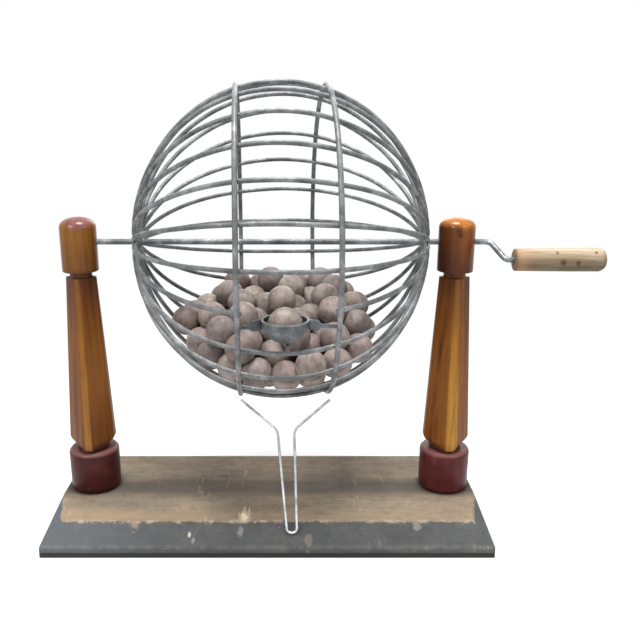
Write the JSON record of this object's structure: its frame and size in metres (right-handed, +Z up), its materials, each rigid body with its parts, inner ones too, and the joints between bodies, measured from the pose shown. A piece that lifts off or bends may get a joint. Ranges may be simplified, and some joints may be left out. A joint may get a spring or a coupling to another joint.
{
  "type": "bingo cage",
  "caption": "Hand-cranked wire bingo cage, a round cage of bent wires between two wooden posts on a bevelled board, with a ball cup, loose wooden balls, a wire runway and a crank handle",
  "frame": {"origin": "On the table, under the axle, halfway along the base board", "axes": "+X along the axle towards the crank, -Y towards the player (the cup's side at rest), +Z up"},
  "size_m": [0.4065, 0.2287, 0.3324],
  "materials": {
    "painted_board": "worn matt paint, dark slate on the sloping edges and rubbed brown-grey on top",
    "maroon_lacquer": "dark maroon gloss lacquer on turned wood",
    "amber_varnish": "amber varnish with dark streaks",
    "brown_varnish": "red-brown gloss varnish",
    "bare_handle_wood": "bare pale wood with small knots",
    "turned_ball_wood": "matt turned wood, pinkish tan, handled",
    "dull_zinc_wire": "dull grey zinc-coated wire",
    "steel_rod": "plain drawn steel",
    "dark_sheet_metal": "dark grey sheet metal with rubbed edges"
  },
  "bodies": {
    "base": {"base_board": "painted_board", "left_foot": "maroon_lacquer", "right_foot": "maroon_lacquer", "left_post": "amber_varnish", "right_post": "amber_varnish", "left_head": "brown_varnish", "right_head": "brown_varnish", "right_head_nail": "steel_rod", "ball_runway": "steel_rod", "ball_pile": "turned_ball_wood"},
    "cage": {"axle_crank": "steel_rod", "cage_hub_left": "dull_zinc_wire", "cage_hub_right": "dull_zinc_wire", "cage_wire_01": "dull_zinc_wire", "cage_wire_02": "dull_zinc_wire", "cage_wire_03": "dull_zinc_wire", "cage_wire_04": "dull_zinc_wire", "cage_wire_05": "dull_zinc_wire", "cage_wire_06": "dull_zinc_wire", "cage_wire_07": "dull_zinc_wire", "cage_wire_08": "dull_zinc_wire", "cage_wire_09": "dull_zinc_wire", "cage_wire_10": "dull_zinc_wire", "cage_wire_11": "dull_zinc_wire", "cage_wire_12": "dull_zinc_wire", "cage_wire_13": "dull_zinc_wire", "cage_wire_14": "dull_zinc_wire", "cage_wire_15": "dull_zinc_wire", "cage_wire_16": "dull_zinc_wire", "cage_wire_17": "dull_zinc_wire", "cage_wire_18": "dull_zinc_wire", "cage_wire_19": "dull_zinc_wire", "cage_wire_20": "dull_zinc_wire", "cage_wire_21": "dull_zinc_wire", "cage_wire_22": "dull_zinc_wire", "cage_wire_23": "dull_zinc_wire", "cage_wire_24": "dull_zinc_wire", "cage_wire_25": "dull_zinc_wire", "gate_wire_left": "dull_zinc_wire", "gate_wire_right": "dull_zinc_wire", "hoop_left": "dull_zinc_wire", "hoop_right": "dull_zinc_wire", "cup_strap_left": "dark_sheet_metal", "cup_strap_right": "dark_sheet_metal", "ball_cup": "dark_sheet_metal", "cup_stem": "dull_zinc_wire", "cup_ball": "turned_ball_wood"},
    "handle": {"crank_handle": "bare_handle_wood"}
  },
  "joints": [
    {"name": "crank", "type": "hinge", "parent": "base", "child": "cage", "pos_m": [0, 0, 0.2193], "axis": [1, 0, 0], "continuous": true, "deforming": ["ball_pile"]},
    {"name": "handle_spin", "type": "hinge", "parent": "cage", "child": "handle", "pos_m": [0.2, -0.018, 0.2093], "axis": [1, 0, 0], "continuous": true}
  ]
}
